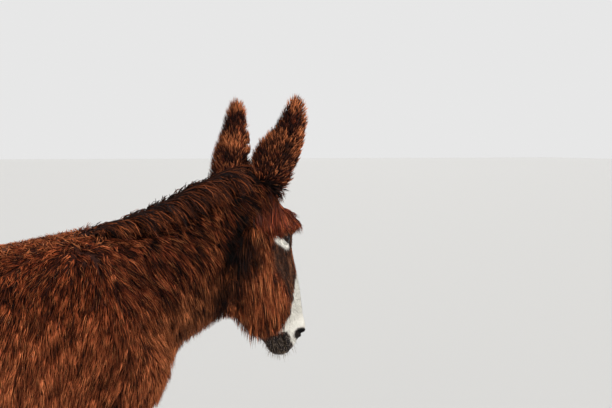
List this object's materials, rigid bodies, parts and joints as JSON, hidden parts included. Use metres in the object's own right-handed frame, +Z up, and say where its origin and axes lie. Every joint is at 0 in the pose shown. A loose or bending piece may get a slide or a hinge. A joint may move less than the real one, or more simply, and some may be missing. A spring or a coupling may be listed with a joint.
{
  "type": "donkey",
  "caption": "Life-size standing donkey with a long shaggy coat, its head lowered and turned to the left and both long ears up.",
  "frame": {"origin": "on the floor, below the middle of the whole body's bounding box", "axes": "+X the way the trunk faces, +Y the animal's left, +Z up"},
  "size_m": [1.756, 0.5428, 1.6128],
  "materials": {
    "coat": "long chestnut winter hair over skin",
    "long_hair": "coarse dark brown hair",
    "eye": "wet and glossy",
    "horn": "dark hoof horn, slightly worn"
  },
  "bodies": {
    "root": {"trunk": "coat", "neck": "coat", "head": "coat", "ear_right": "coat", "ear_left": "coat", "eye_right": "eye", "eye_left": "eye", "mane": "long_hair", "tail": "long_hair", "leg_front_right": "coat", "leg_front_left": "coat", "leg_rear_right": "coat", "leg_rear_left": "coat", "hoof_front_right": "horn", "hoof_front_left": "horn", "hoof_rear_right": "horn", "hoof_rear_left": "horn"}
  },
  "joints": []
}
